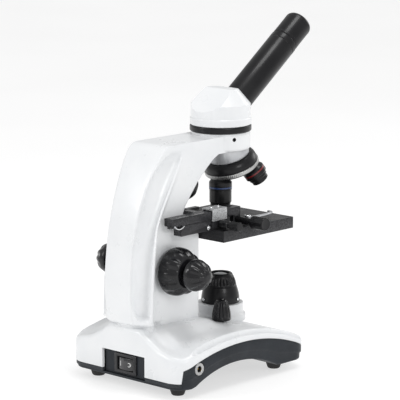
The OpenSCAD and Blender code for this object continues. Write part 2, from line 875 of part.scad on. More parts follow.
base_housing();
base_tray();
rear_panel();
rubber_feet();
foot_screws();
switch_bezel();
rocker_cap();
dc_jack_socket();
dc_jack_nut();
dc_jack_pin();
driver_board();
led_board();
led_emitter();
illuminator_dome();
collector_lens();
dome_screws();
potentiometer();
brightness_knob();
arm();
arm_screws();
sleeve_bushes();
guide_rails();
top_lamp_housing();
top_lamp_lens();
head_ring();
head_clamp_screw();
head_body();
head_prism();
eyepiece_tube();
eyepiece_body();
eye_lens();
field_lens();
nosepiece_base();
turret_disc();
turret_ring();
objective_40x();
objective_10x();
objective_4x();
objective_bands();
objective_lenses();
coarse_knob_left();
coarse_knob_right();
coarse_sleeve();
fine_shaft();
fine_knob_left();
fine_knob_right();
fine_carriage();
stage_bracket();
stage_plate();
condenser_lens();
diaphragm_disc();
stage_guide();
pinion_bracket();
cross_slide();
slide_holder();
spring_finger();
y_knob();
x_knob();
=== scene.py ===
"""Looks of the microscope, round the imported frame. Lengths are millimetres until a mesh is made."""
from math import asin, cos, exp, log, pi, radians, sin, sqrt

import bmesh
import bpy
from mathutils import Matrix, Vector


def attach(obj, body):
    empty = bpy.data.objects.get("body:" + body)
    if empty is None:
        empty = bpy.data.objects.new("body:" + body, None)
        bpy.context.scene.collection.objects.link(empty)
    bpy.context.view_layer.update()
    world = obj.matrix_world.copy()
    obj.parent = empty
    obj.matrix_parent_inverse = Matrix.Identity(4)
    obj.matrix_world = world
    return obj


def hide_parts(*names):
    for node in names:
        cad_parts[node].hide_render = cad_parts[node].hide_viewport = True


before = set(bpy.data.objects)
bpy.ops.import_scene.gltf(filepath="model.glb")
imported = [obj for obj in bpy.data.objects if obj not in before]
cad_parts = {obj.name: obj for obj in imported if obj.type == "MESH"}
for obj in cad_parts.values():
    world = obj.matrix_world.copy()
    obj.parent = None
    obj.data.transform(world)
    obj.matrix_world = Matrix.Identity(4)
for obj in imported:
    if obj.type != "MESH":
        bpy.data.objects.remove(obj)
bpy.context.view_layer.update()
MM = 0.001
AXIS_Y = -11.0


def at(x, y, z):
    return Matrix.Translation((x, y, z))


def turn(degrees, axis):
    return Matrix.Rotation(radians(degrees), 4, axis)


ALONG_X = turn(90, "Y")
TUBE = at(0, AXIS_Y, 241) @ turn(53.3, "X")
TURRET = at(0, AXIS_Y, 236) @ turn(-21, "X")
LAMP = at(0, 45, 187) @ turn(129, "X")


def objective_place(i):
    """Where objective i meets the turret, with its Z axis along the barrel."""
    return TURRET @ turn(120 * i, "Z") @ turn(21, "X") @ at(0, 0, -51)


# ---------- materials ----------
class Nodes:
    """A new material with its shader, and short calls that add nodes to it."""

    def __init__(self, name):
        self.mat = bpy.data.materials.new(name)
        self.mat.use_nodes = True
        self.tree = self.mat.node_tree
        self.bsdf = self.tree.nodes["Principled BSDF"]
        self.coord = self.tree.nodes.new("ShaderNodeTexCoord").outputs["Object"]

    def noise(self, scale, detail=3.0, rough=0.55, stretch=None):
        n = self.tree.nodes.new("ShaderNodeTexNoise")
        n.inputs["Scale"].default_value = scale
        n.inputs["Detail"].default_value = detail
        n.inputs["Roughness"].default_value = rough
        source = self.coord
        if stretch:
            m = self.tree.nodes.new("ShaderNodeMapping")
            m.inputs["Scale"].default_value = stretch
            self.tree.links.new(source, m.inputs["Vector"])
            source = m.outputs["Vector"]
        self.tree.links.new(source, n.inputs["Vector"])
        return n.outputs["Fac"]

    def ramp(self, fac, stops):
        r = self.tree.nodes.new("ShaderNodeValToRGB")
        r.color_ramp.elements[0].position = stops[0][0]
        r.color_ramp.elements[0].color = (*stops[0][1], 1)
        r.color_ramp.elements[1].position = stops[-1][0]
        r.color_ramp.elements[1].color = (*stops[-1][1], 1)
        for p, c in stops[1:-1]:
            r.color_ramp.elements.new(p).color = (*c, 1)
        self.tree.links.new(fac, r.inputs["Fac"])
        return r.outputs["Color"]

    def spread(self, fac, low, high, start=0.3, end=0.7):
        m = self.tree.nodes.new("ShaderNodeMapRange")
        for key, value in (("From Min", start), ("From Max", end), ("To Min", low), ("To Max", high)):
            m.inputs[key].default_value = value
        self.tree.links.new(fac, m.inputs["Value"])
        return m.outputs["Result"]

    def wear(self, colour, edge_colour, start=0.53, end=0.6):
        """Mixes a lighter colour in along convex edges, broken up by noise."""
        g = self.tree.nodes.new("ShaderNodeNewGeometry")
        edge = self.spread(g.outputs["Pointiness"], 0.0, 1.0, start, end)
        broken = self.tree.nodes.new("ShaderNodeMath")
        broken.operation = "MULTIPLY"
        self.tree.links.new(edge, broken.inputs[0])
        self.tree.links.new(self.spread(self.noise(900, 4), 0.0, 1.0, 0.35, 0.65), broken.inputs[1])
        mix = self.tree.nodes.new("ShaderNodeMix")
        mix.data_type = "RGBA"
        self.tree.links.new(broken.outputs[0], mix.inputs["Factor"])
        self.tree.links.new(colour, mix.inputs["A"])
        mix.inputs["B"].default_value = (*edge_colour, 1)
        return mix.outputs["Result"]

    def bump(self, height, strength, distance):
        b = self.tree.nodes.new("ShaderNodeBump")
        b.inputs["Strength"].default_value = strength
        b.inputs["Distance"].default_value = distance
        self.tree.links.new(height, b.inputs["Height"])
        self.tree.links.new(b.outputs["Normal"], self.bsdf.inputs["Normal"])

    def link(self, socket, name):
        self.tree.links.new(socket, self.bsdf.inputs[name])

    def put(self, **values):
        for key, value in values.items():
            self.bsdf.inputs[key.replace("_", " ")].default_value = value
        return self


def surface(name, dark, light, rough, scale, bump, metal=0.0, coat=0.0, edge=None, stretch=None, extra=None,
            detail=4.0, distance=0.0002, specular=0.5):
    """One opaque finish: colour drifts from dark to light, roughness varies, and a fine bump runs over it."""
    n = Nodes(name)
    broad = n.noise(35, 3)
    fine = n.noise(scale, detail, 0.6, stretch)
    colour = n.ramp(broad, [(0.3, dark), (0.7, light)])
    if extra:
        colour = n.ramp(fine, [(0.38, extra), (0.5, dark), (0.68, light)])
    if edge:
        colour = n.wear(colour, edge)
    n.link(colour, "Base Color")
    n.link(n.spread(n.noise(60, 4), rough[0], rough[1]), "Roughness")
    n.bump(fine, bump, distance)
    n.put(Metallic=metal, Coat_Weight=coat, Coat_Roughness=0.08, Specular_IOR_Level=specular)
    return n.mat


def clear(name, tint, rough=0.02, transmission=0.9):
    n = Nodes(name)
    n.link(n.ramp(n.noise(20), [(0.3, tint), (0.7, tuple(min(1, c * 1.03) for c in tint))]), "Base Color")
    n.link(n.spread(n.noise(200, 4), rough, rough + 0.04), "Roughness")
    n.put(Transmission_Weight=transmission, IOR=1.5)
    return n.mat


def lit(name, colour, glow):
    n = Nodes(name)
    n.link(n.ramp(n.noise(300), [(0.3, colour), (0.7, tuple(c * 0.93 for c in colour))]), "Base Color")
    n.link(n.spread(n.noise(400), 0.15, 0.3), "Roughness")
    n.put(Emission_Color=(*colour, 1), Emission_Strength=glow)
    return n.mat


WHITE = surface("white_paint", (0.775, 0.79, 0.805), (0.82, 0.83, 0.84), (0.26, 0.34), 1100, 0.02, coat=0.2)
SLATE = surface("slate_plastic", (0.012, 0.015, 0.019), (0.020, 0.024, 0.030), (0.42, 0.56), 2600, 0.35,
                edge=(0.06, 0.065, 0.07), specular=0.25)
BLACK = surface("black_plastic", (0.005, 0.005, 0.006), (0.010, 0.010, 0.012), (0.22, 0.32), 2400, 0.08,
                coat=0.2, edge=(0.05, 0.05, 0.055), specular=0.3)
SATIN = surface("black_enamel", (0.006, 0.006, 0.007), (0.011, 0.011, 0.012), (0.30, 0.38), 1600, 0.02,
                coat=0.12, edge=(0.05, 0.05, 0.055), specular=0.22)
CRINKLE = surface("crinkle_black", (0.007, 0.007, 0.008), (0.014, 0.014, 0.016), (0.36, 0.50), 1500, 0.6,
                  edge=(0.06, 0.06, 0.065), distance=0.0003, specular=0.3)
GLOSS = surface("gloss_switch", (0.012, 0.012, 0.014), (0.022, 0.022, 0.024), (0.10, 0.18), 900, 0.05,
                coat=0.4)
RUBBER = surface("rubber", (0.010, 0.010, 0.010), (0.024, 0.023, 0.022), (0.62, 0.8), 1800, 0.5,
                 edge=(0.07, 0.07, 0.068))
CHROME = surface("chrome", (0.66, 0.67, 0.69), (0.78, 0.79, 0.80), (0.07, 0.15), 700, 0.04, metal=1.0)
NICKEL = surface("dull_nickel", (0.40, 0.40, 0.40), (0.54, 0.54, 0.53), (0.24, 0.34), 900, 0.1, metal=1.0)
STEEL = surface("ground_steel", (0.46, 0.47, 0.49), (0.60, 0.61, 0.63), (0.24, 0.38), 260, 0.12, metal=1.0,
                stretch=(1, 1, 14))
SPECKLED = surface("speckled_aluminium", (0.52, 0.53, 0.54), (0.80, 0.81, 0.82), (0.38, 0.55), 1500, 0.5,
                   metal=0.6, extra=(0.22, 0.22, 0.23))
CAST = surface("satin_aluminium", (0.46, 0.47, 0.49), (0.62, 0.63, 0.64), (0.34, 0.46), 1900, 0.2, metal=0.6)
BRASS = surface("brass", (0.45, 0.31, 0.10), (0.62, 0.46, 0.18), (0.22, 0.36), 500, 0.1, metal=1.0)
BOARD = surface("board_green", (0.01, 0.08, 0.035), (0.02, 0.13, 0.06), (0.35, 0.5), 900, 0.15)
PALE = surface("board_white", (0.66, 0.66, 0.65), (0.76, 0.76, 0.75), (0.4, 0.55), 800, 0.1)
MARK = surface("white_marks", (0.70, 0.70, 0.69), (0.80, 0.80, 0.79), (0.4, 0.5), 1500, 0.1)
BLUE = surface("blue_band", (0.012, 0.035, 0.12), (0.02, 0.055, 0.17), (0.24, 0.34), 1200, 0.05, coat=0.3)
RED = surface("red_band", (0.13, 0.008, 0.010), (0.20, 0.014, 0.016), (0.24, 0.34), 1200, 0.05, coat=0.3)
YELLOW = surface("yellow_band", (0.30, 0.19, 0.03), (0.40, 0.27, 0.05), (0.24, 0.34), 1200, 0.05, coat=0.3)
GLASS = clear("lens_glass", (0.86, 0.93, 0.97))
COATED = surface("coated_lens", (0.02, 0.03, 0.05), (0.05, 0.05, 0.10), (0.03, 0.07), 300, 0.02, coat=1.0)
FROST = clear("frosted_lens", (0.90, 0.92, 0.93), 0.35, 0.6)
LED = lit("led_phosphor", (0.95, 0.82, 0.35), 0.4)

# ---------- mesh helpers ----------
def piece(name, verts, faces, mat, body, nodes=(), smooth=40, place=None):
    """A new object from millimetre points that rides on a body and stands for the given CAD nodes."""
    place = place or Matrix.Identity(4)
    me = bpy.data.meshes.new(name)
    me.from_pydata([(place @ Vector(v)) * MM for v in verts], [], faces)
    return adopt(name, me, mat, body, nodes, smooth)


def adopt(name, me, mat, body, nodes=(), smooth=40):
    bm = bmesh.new()
    bm.from_mesh(me)
    bmesh.ops.remove_doubles(bm, verts=bm.verts, dist=1e-6)
    bmesh.ops.recalc_face_normals(bm, faces=bm.faces)
    bm.to_mesh(me)
    bm.free()
    for p in me.polygons:
        p.use_smooth = True
    if smooth:
        me.set_sharp_from_angle(angle=radians(smooth))
    me.materials.clear()
    me.materials.append(mat)
    ob = bpy.data.objects.new(name, me)
    bpy.context.scene.collection.objects.link(ob)
    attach(ob, body)
    for n in nodes:
        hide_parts(n)
    return ob


def rounded(points, r, n=3):
    """Rounds the inner corners of an open outline with short curves."""
    out = [points[0]]
    for a, b, c in zip(points, points[1:], points[2:]):
        va, vc = Vector(a) - Vector(b), Vector(c) - Vector(b)
        d = min(r, va.length * 0.45, vc.length * 0.45)
        if d < 0.02:
            out.append(b)
            continue
        p, q, m = Vector(b) + va.normalized() * d, Vector(b) + vc.normalized() * d, Vector(b)
        for i in range(n + 1):
            t = i / n
            out.append(tuple(p * (1 - t) ** 2 + m * 2 * t * (1 - t) + q * t * t))
    out.append(points[-1])
    return out


def lathe(name, outline, place, mat, body, nodes=(), seg=96, r=0.5, flute=None, smooth=40,
          closed=False):
    """Turns an outline of (radius, height) points; flute(radius, height, angle) gives the radius there."""
    line = rounded(outline, r) if r else list(outline)
    verts, faces, rings = [], [], []
    for rad, h in line:
        if rad < 1e-4:
            rings.append([len(verts)])
            verts.append((0, 0, h))
            continue
        ring = []
        for k in range(seg):
            a = 2 * pi * k / seg
            q = flute(rad, h, a) if flute else rad
            ring.append(len(verts))
            verts.append((q * cos(a), q * sin(a), h))
        rings.append(ring)
    pairs = list(zip(rings, rings[1:]))
    if closed:
        pairs.append((rings[-1], rings[0]))
    for lo, hi in pairs:
        for k in range(seg):
            j = (k + 1) % seg
            if len(lo) == 1 and len(hi) == 1:
                continue
            if len(lo) == 1:
                faces.append((lo[0], hi[j], hi[k]))
            elif len(hi) == 1:
                faces.append((lo[k], lo[j], hi[0]))
            else:
                faces.append((lo[k], lo[j], hi[j], hi[k]))
    return piece(name, verts, faces, mat, body, nodes, smooth, place)


def solid_box(lo, hi):
    x0, y0, z0 = lo
    x1, y1, z1 = hi
    verts = [(x, y, z) for z in (z0, z1) for x, y in ((x0, y0), (x1, y0), (x1, y1), (x0, y1))]
    return verts, [(0, 3, 2, 1), (4, 5, 6, 7), (0, 1, 5, 4), (1, 2, 6, 5), (2, 3, 7, 6), (3, 0, 4, 7)]


def bevelled(ob, width, segments=2, angle=32):
    m = ob.modifiers.new("edges", "BEVEL")
    m.width = width * MM
    m.segments = segments
    m.limit_method = "ANGLE"
    m.angle_limit = radians(angle)
    m.use_clamp_overlap = True
    m.harden_normals = True
    return ob


def block(name, lo, hi, mat, body, width=0.4, nodes=(), place=None):
    v, f = solid_box(lo, hi)
    return bevelled(piece(name, v, f, mat, body, nodes, 0, place), width)


def moulded(node, mat, body, width=0.4, segments=2, angle=32):
    """A copy of a CAD node with its hard edges rounded over."""
    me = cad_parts[node].data.copy()
    bm = bmesh.new()
    bm.from_mesh(me)
    bmesh.ops.remove_doubles(bm, verts=bm.verts, dist=2e-6)
    bmesh.ops.dissolve_limit(bm, angle_limit=radians(1.0), verts=bm.verts, edges=bm.edges)
    bm.to_mesh(me)
    bm.free()
    ob = adopt(node + "_detail", me, mat, body, [node], 0)
    return bevelled(ob, width, segments, angle)


def carve(ob, cutters):
    """Cuts simple solids out of a mesh and keeps the result as plain geometry."""
    made = []
    for verts, faces, place in cutters:
        me = bpy.data.meshes.new("cutter")
        me.from_pydata([((place or Matrix.Identity(4)) @ Vector(v)) * MM for v in verts], [], faces)
        bm = bmesh.new()
        bm.from_mesh(me)
        bmesh.ops.recalc_face_normals(bm, faces=bm.faces)
        bm.to_mesh(me)
        bm.free()
        c = bpy.data.objects.new("cutter", me)
        bpy.context.scene.collection.objects.link(c)
        m = ob.modifiers.new("cut", "BOOLEAN")
        m.operation = "DIFFERENCE"
        m.solver = "EXACT"
        m.object = c
        made.append(c)
    bpy.context.view_layer.update()
    result = bpy.data.meshes.new_from_object(ob.evaluated_get(bpy.context.evaluated_depsgraph_get()))
    ob.modifiers.clear()
    old, ob.data = ob.data, result
    bpy.data.meshes.remove(old)
    for c in made:
        data = c.data
        bpy.data.objects.remove(c)
        bpy.data.meshes.remove(data)


def rod(r, length, seg=48):
    """Points and faces of a plain cylinder along Z."""
    v = [(r * cos(2 * pi * k / seg), r * sin(2 * pi * k / seg), z) for z in (0, length) for k in range(seg)]
    f = [(k, (k + 1) % seg, seg + (k + 1) % seg, seg + k) for k in range(seg)]
    f += [tuple(range(seg - 1, -1, -1)), tuple(range(seg, 2 * seg))]
    return v, f


def interp(table, z):
    """Reads a sorted table of (z, value), straight between its rows."""
    if z <= table[0][0]:
        return table[0][1]
    for (a, va), (b, vb) in zip(table, table[1:]):
        if z <= b:
            return va + (vb - va) * (z - a) / (b - a)
    return table[-1][1]


def ease(t):
    """A smooth step from 0 to 1."""
    t = max(0.0, min(1.0, t))
    return t * t * (3 - 2 * t)


def bezier(points, n):
    """n points after the first on a Bezier curve."""
    out = []
    for i in range(1, n + 1):
        t, row = i / n, [Vector(p) for p in points]
        while len(row) > 1:
            row = [a.lerp(b, t) for a, b in zip(row, row[1:])]
        out.append(tuple(row[0]))
    return out


def stacked(rings, wrap=False):
    """Faces that join equal rings of points, each to the next; wrap joins the last to the first."""
    n, count = len(rings[0]), len(rings)
    faces = []
    for i in range(count if wrap else count - 1):
        low, high = i * n, (i + 1) % count * n
        for k in range(n):
            j = (k + 1) % n
            faces.append((low + k, low + j, high + j, high + k))
    return faces


# ---------- base ----------
HALF_W, FRONT, BACK, CORNER = 75.0, -58.0, 124.0, 18.0
ARCH_Y, ARCH_Z, ARCH_R = 44.0, -99.0, 123.0
BAND_Y, BAND_Z, BAND_R, BAND_END = 38.8, -175.2, 217.0, 117.6
STRIP_TOP, JOINT_GAP = 15.0, 0.25
SADDLE_R, SADDLE_TOP, SHELL_T, SHOULDER = 230.0, 52.0, 3.0, 5.0
MOUND = [(0, 59.7), (33, 59.7), (40, 56), (64, 41), (75, 27)]
MOUND_MAX, MOUND_BLEND = 59.9, 2.2
FLOOR_Z, FLOOR_T, FLOOR_STEPS = 9.0, 2.4, 48
CENTRE, INNER_INSET = (0.0, 33.0), 15
CORNER_STEPS, SIDE_STEPS = 15, 28
JACK_Y, JACK_Z = 98.0, 27.0
DIAL_X, DIAL_Y, DIAL_Z = -27.0, 16.6, 52.0
FOOT_PLACES = [(-53, -30.7), (53, -30.7), (-53, 104.7), (53, 104.7)]
# walls of the shell, inside then outside: whether a ring hangs from the shoulder, its offset and its inset
WALLS = ((True, -1.5, 3.0), (False, 1.2, 3.0), (False, 0.0, 2.6), (False, 0.0, 0.5), (False, 0.5, 0.0),
         (True, 0.0, 0.0))
# lip and ledge along the shell's sides: inset, and share of the way from the shoulder to the saddle
LEDGE = ((0.1, 0.04), (0.6, 0.14), (1.3, 0.16), (1.9, 0.04), (2.7, -0.25), (3.6, -0.25), (4.2, 0.10),
         (5.0, 0.80), (6.2, 1.0))
# section of the slate band, from its foot to its top: share of its height, and inset
BAND_SECTION = ((0.0, 4.0), (0.0, 2.6), (0.08, 2.0), (0.40, 1.8), (0.47, 0.7), (0.53, 0.4), (0.96, 0.4),
                (1.0, 1.0), (1.0, 4.0))


def plan(inset):
    """The base's rounded plan, inset by a distance, as a loop of points."""
    right, rear, front = HALF_W - CORNER, BACK - CORNER, FRONT + CORNER
    corners = [(right, rear), (-right, rear), (-right, front), (right, front)]
    r = CORNER - inset
    pts = []
    for quarter, (cx, cy) in enumerate(corners):
        for i in range(CORNER_STEPS + 1):
            a = radians(90 * quarter + 90 * i / CORNER_STEPS)
            pts.append((cx + r * cos(a), cy + r * sin(a)))
        nx, ny = corners[(quarter + 1) % 4]
        x0, y0 = pts[-1]
        x1, y1 = nx + r * cos(a), ny + r * sin(a)
        for i in range(1, SIDE_STEPS):
            pts.append((x0 + (x1 - x0) * i / SIDE_STEPS, y0 + (y1 - y0) * i / SIDE_STEPS))
    return pts


def arch(r, y, centre=ARCH_Z):
    return centre + sqrt(max(0.0, r * r - (y - ARCH_Y) ** 2))


def band_top(y):
    """Height where the white body meets the side bands; it drops to a thin strip at the rear corners."""
    if y > BAND_END:
        return STRIP_TOP
    return max(STRIP_TOP, BAND_Z + sqrt(BAND_R ** 2 - (y - BAND_Y) ** 2))


def base_top(x, y):
    """Height of the saddle: an arch along Y that swells up under the arm and drops beside its foot."""
    low = arch(SADDLE_R, y, SADDLE_TOP - SADDLE_R)
    mound = interp(MOUND, abs(x))
    mound = low - 12 + (mound - low + 12) * ease((y - 8) / 40)
    k, near = MOUND_BLEND, 50
    full = min(MOUND_MAX, k * log(exp((low - near) / k) + exp((mound - near) / k)) + near)
    return full - 8.5 * ease((abs(x) - 19) / 15) * ease((y - 100) / 14) * ease((full - 36) / 20)


def on_saddle(x, y, lift=0.0):
    return x, y, base_top(x, y) + lift


def drawn_in(x, y, share):
    """A plan point moved towards the middle of the base."""
    return x + (CENTRE[0] - x) * share, y + (CENTRE[1] - y) * share


def wall_ends(x, y):
    """Heights of the shell's lower edge and of its shoulder at a point of the outer plan."""
    foot = band_top(y) + JOINT_GAP
    return foot, max(base_top(x, y) - SHOULDER, foot + 3)


def make_shell():
    """White shell: rings from the middle of its underside, round its edge, to the middle of its top."""
    outer, inner = plan(0), plan(INNER_INSET)
    rings = [[on_saddle(*drawn_in(x, y, i / 8), -SHELL_T) for x, y in inner] for i in range(7, 0, -1)]
    rings += [[on_saddle(x, y, -SHELL_T) for x, y in plan(inset)] for inset in (INNER_INSET, 9, 5)]
    for from_shoulder, offset, inset in WALLS:
        ring = []
        for (x, y), (ox, oy) in zip(plan(inset), outer):
            foot, shoulder = wall_ends(ox, oy)
            ring.append((x, y, (shoulder if from_shoulder else foot) + offset))
        rings.append(ring)
    # the shoulder is round at the ends; along the sides a lip and a ledge run parallel to the arch
    for i, (step, rise) in enumerate(LEDGE):
        a = radians(90 * (i + 1) / len(LEDGE))
        ring = []
        for (x, y), (sx, sy), (ox, oy) in zip(plan(4.6 * (1 - cos(a))), plan(step), outer):
            side_on = ease((abs(ox) - 60) / 8) * ease((oy + 52) / 8) * ease((106 - oy) / 10)
            x, y = x + (sx - x) * side_on, y + (sy - y) * side_on
            share = sin(a) + (rise - sin(a)) * side_on
            shoulder = wall_ends(ox, oy)[1]
            ring.append((x, y, shoulder + (base_top(x, y) - shoulder) * share))
        rings.append(ring)
    rings += [[on_saddle(x, y) for x, y in plan(inset)] for inset in (7, 9, 12, INNER_INSET)]
    rings += [[on_saddle(*drawn_in(x, y, i / 22)) for x, y in inner] for i in range(1, 22)]
    n, last = len(outer), (len(rings) - 1) * len(outer)
    verts = [p for ring in rings for p in ring] + [on_saddle(*CENTRE, -SHELL_T), on_saddle(*CENTRE)]
    faces = stacked(rings)
    faces += [(k, (k + 1) % n, len(verts) - 2) for k in range(n)]
    faces += [(last + k, last + (k + 1) % n, len(verts) - 1) for k in range(n)]
    shell = piece("base_shell", verts, faces, WHITE, "stand", ["base_housing"], 50)
    carve(shell, [
        (*solid_box((-28.2, 116, 5), (28.2, 126, 34.7)), None),
        (*rod(6.6, 12), at(-78, JACK_Y, JACK_Z) @ ALONG_X),
        (*rod(3.4, 30), at(DIAL_X, DIAL_Y, 35)),
    ])
    boss = [(14.6, 60), (14.6, 61.4), (22.4, 61.4), (22.4, 53.6), (22.8, 51.6), (24.8, 50.0), (24.8, 44),
            (14.6, 44)]
    lathe("lamp_boss", boss, at(0, AXIS_Y, 0), WHITE, "stand", [], r=0.8, closed=True)


def make_band():
    """Slate band: the sides follow the arch, the front and rear close the bottom."""
    rings = []
    for share, inset in BAND_SECTION:
        ring = []
        for (x, y), (_, oy) in zip(plan(inset), plan(0)):
            foot = max(FLOOR_Z, arch(ARCH_R, y))
            y += 4.0 * ease((FRONT + 8 - oy) / 8) * (1 - share) ** 2
            ring.append((x, y, foot + (band_top(oy) - foot) * share))
        rings.append(ring)
    verts = [p for ring in rings for p in ring]
    band = piece("base_band", verts, stacked(rings, True), SLATE, "stand", ["base_tray"], 50)
    carve(band, [
        (*solid_box((-28.3, 116, 11.5), (28.3, 126, 40)), None),
        (*rod(5.2, 12), at(-78, JACK_Y, JACK_Z) @ ALONG_X),
        (*rod(6.45, 3), at(-75.9, JACK_Y, JACK_Z) @ ALONG_X),
    ])


def half_floor(y):
    """Half of the floor's width at y; its corners are round like the base's."""
    r = CORNER - 3.5
    into = max(0.0, FRONT + CORNER - y, y - (BACK - CORNER))
    return HALF_W - CORNER + sqrt(max(0.0, r * r - into * into))


def make_floor():
    """The vaulted floor under the base: strips four points wide, below and above."""
    ys = [FRONT + 3 + (BACK - FRONT - 6) * i / FLOOR_STEPS for i in range(FLOOR_STEPS + 1)]
    verts = [(x, y, max(FLOOR_Z, arch(ARCH_R, y)) + dz) for dz in (0.0, FLOOR_T) for y in ys
             for x in (-half_floor(y), -30, 30, half_floor(y))]
    faces = []
    m = 4 * len(ys)
    for i in range(FLOOR_STEPS):
        for a in range(4 * i, 4 * i + 3):
            faces.append((a, a + 1, a + 5, a + 4))
            faces.append((m + a, m + a + 4, m + a + 5, m + a + 1))
        left, right = 4 * i, 4 * i + 3
        faces.append((left, left + 4, m + left + 4, m + left))
        faces.append((m + right, m + right + 4, right + 4, right))
    for i in (0, FLOOR_STEPS):
        faces += [(a, a + 1, m + a + 1, m + a) for a in range(4 * i, 4 * i + 3)]
    piece("base_floor", verts, faces, SLATE, "stand", [], 40)


def make_ribs_and_feet():
    for x, side in ((-42, "l"), (42, "r")):
        for y0, y1, end in ((-50, -22, "f"), (108, 119, "b")):
            block(f"floor_rib_{side}_{end}", (x - 1, y0, 8.2), (x + 1, y1, 10.5), SLATE, "stand",
                  0.3)
    foot = [(3.7, 3.4), (3.7, 0.4), (4.1, 0.0), (5.4, 0), (6.2, 0.9), (8.1, 6.6), (8.3, 7.4), (8.3, 12.2),
            (3.7, 12.2)]
    for i, (x, y) in enumerate(FOOT_PLACES):
        lathe(f"rubber_foot_{i + 1}", foot, at(x, y, 0), RUBBER, "stand", ["rubber_feet"] if i == 0 else [],
              64, 0.3, closed=True)


def make_panel():
    plate = block("panel_plate", (-28, 117.6, 11.7), (28, 120, 34.4), SLATE, "stand", 0.5,
                  ["rear_panel"])
    carve(plate, [(*solid_box((-12.6, 110, 14.9), (12.6, 125, 31.1)), None)])
    moulded("switch_bezel", BLACK, "stand", 0.5)
    moulded("rocker_cap", GLOSS, "rocker", 0.4)
    block("rocker_line", (5.2, 120.6, 20.6), (5.9, 121.9, 25.4), MARK, "rocker", 0.05)
    lathe("rocker_ring", [(1.5, 0), (2.1, 0), (2.1, 1.5), (1.5, 1.5)],
          at(-5.6, 120.6, 23) @ turn(-90, "X"), MARK, "rocker", [], 32, 0.05, closed=True)
    left = turn(-90, "Y")
    barrel = [(0, 2), (2.7, 2), (2.75, 12.6), (3.1, 13), (4.5, 13), (4.6, 12.5), (4.6, 0), (0, 0)]
    lathe("jack_barrel", barrel, at(-60, JACK_Y, JACK_Z) @ left, BLACK, "stand", ["dc_jack_socket"],
          64, 0.15)
    lathe("jack_nut", [(2.9, 0), (6.2, 0), (6.2, 1.3), (5.7, 1.9), (3.3, 1.9), (2.9, 1.5)],
          at(-73, JACK_Y, JACK_Z) @ left, NICKEL, "stand", ["dc_jack_nut"], 72, 0.2, closed=True,
          flute=lambda r, h, a: r - (0.25 if r > 5 and int(a / (2 * pi) * 72) % 2 else 0))


# ---------- arm ----------
# each table below gives, at height z: the flat wall's rear edge, the ridge's y and half width, the back
# strip's half width and how far in it lies, and the front of the neck
WALL_EDGE = [(60, 100), (70, 103.4), (92, 104.8), (114, 104), (138, 101.6), (159, 95.2), (177, 84.8),
             (193, 74.4), (206, 65.7), (216, 61), (230, 58)]
RIDGE_Y = [(56, 119), (80, 117.5), (104, 116.2), (130, 113), (150, 107.5), (170, 97.5), (190, 84.5),
           (205, 74), (216, 67), (230, 63)]
RIDGE_W = [(56, 31), (72, 31.8), (100, 32.2), (130, 31.2), (148, 28.6), (157, 26.9), (168, 26.3), (190, 24.8),
           (205, 23.2), (216, 22.4), (230, 22.2)]
ARM_HALF_W, ARM_FRONT, WALL_FRONT, TOP_ROUND_Z, TOP_ROUND_R = 22.0, 41.5, 62.9, 224.6, 5.0
FOCUS_AXIS = (0, 82.8, 111.2)
STRIP_W = [(56, 17), (132, 17), (167, 18), (188, 19), (205, 20.8), (216, 22), (222, 22.6), (230, 22.4)]
STRIP_IN = [(200, 0), (208, 1.2), (215, 4.5), (222, 9), (230, 9)]
FRONT_EDGE = [(163, 62.9), (170, 59.4), (181, 50.5), (192, 41.5), (203, 29), (210, 20), (214, 12)]


def back_y(z):
    """The arm's back at height z: part of an ellipse."""
    return 20 + 111.5 * sqrt(max(0.0, 1 - ((z - 100) / 165) ** 2))


def nose_front(nose_r, w):
    """Outline of the round nose from its front to where it meets the arm's flat side."""
    stop = pi - asin(w / nose_r) if nose_r > w else pi / 2
    pts = [(nose_r * sin(stop * i / 19), AXIS_Y - nose_r * cos(stop * i / 19)) for i in range(20)]
    y0 = pts[-1][1]
    return pts + [(w, y0 + 2.8), (w, y0 + 8.0)]


def wall_front(front_y, w):
    """Outline of the arm's flat front and its rounded corner."""
    r = 3.2
    pts = [((w - r) * i / 13, front_y) for i in range(14)]
    pts += [(w - r + r * sin(radians(d)), front_y + r - r * cos(radians(d))) for d in (18, 36, 54, 72, 90)]
    return pts + [(w, front_y + r + 1.0), (w, front_y + r + 2.0), (w, front_y + r + 3.0)]


def scooped(u, z):
    """How far the groove is cut at share u from the ridge and height z: its foot is a lopsided U."""
    left = 0.28 + 0.72 * sqrt(max(0.0, 1 - (max(0.0, 94 - z) / 27) ** 2))
    right = 0.28 - 0.28 * sqrt(max(0.0, 1 - (max(0.0, 76 - z) / 9) ** 2))
    return ease((left + 0.07 - u) / 0.14) * ease((u - right + 0.07) / 0.14) * ease((z - 67) / 5)


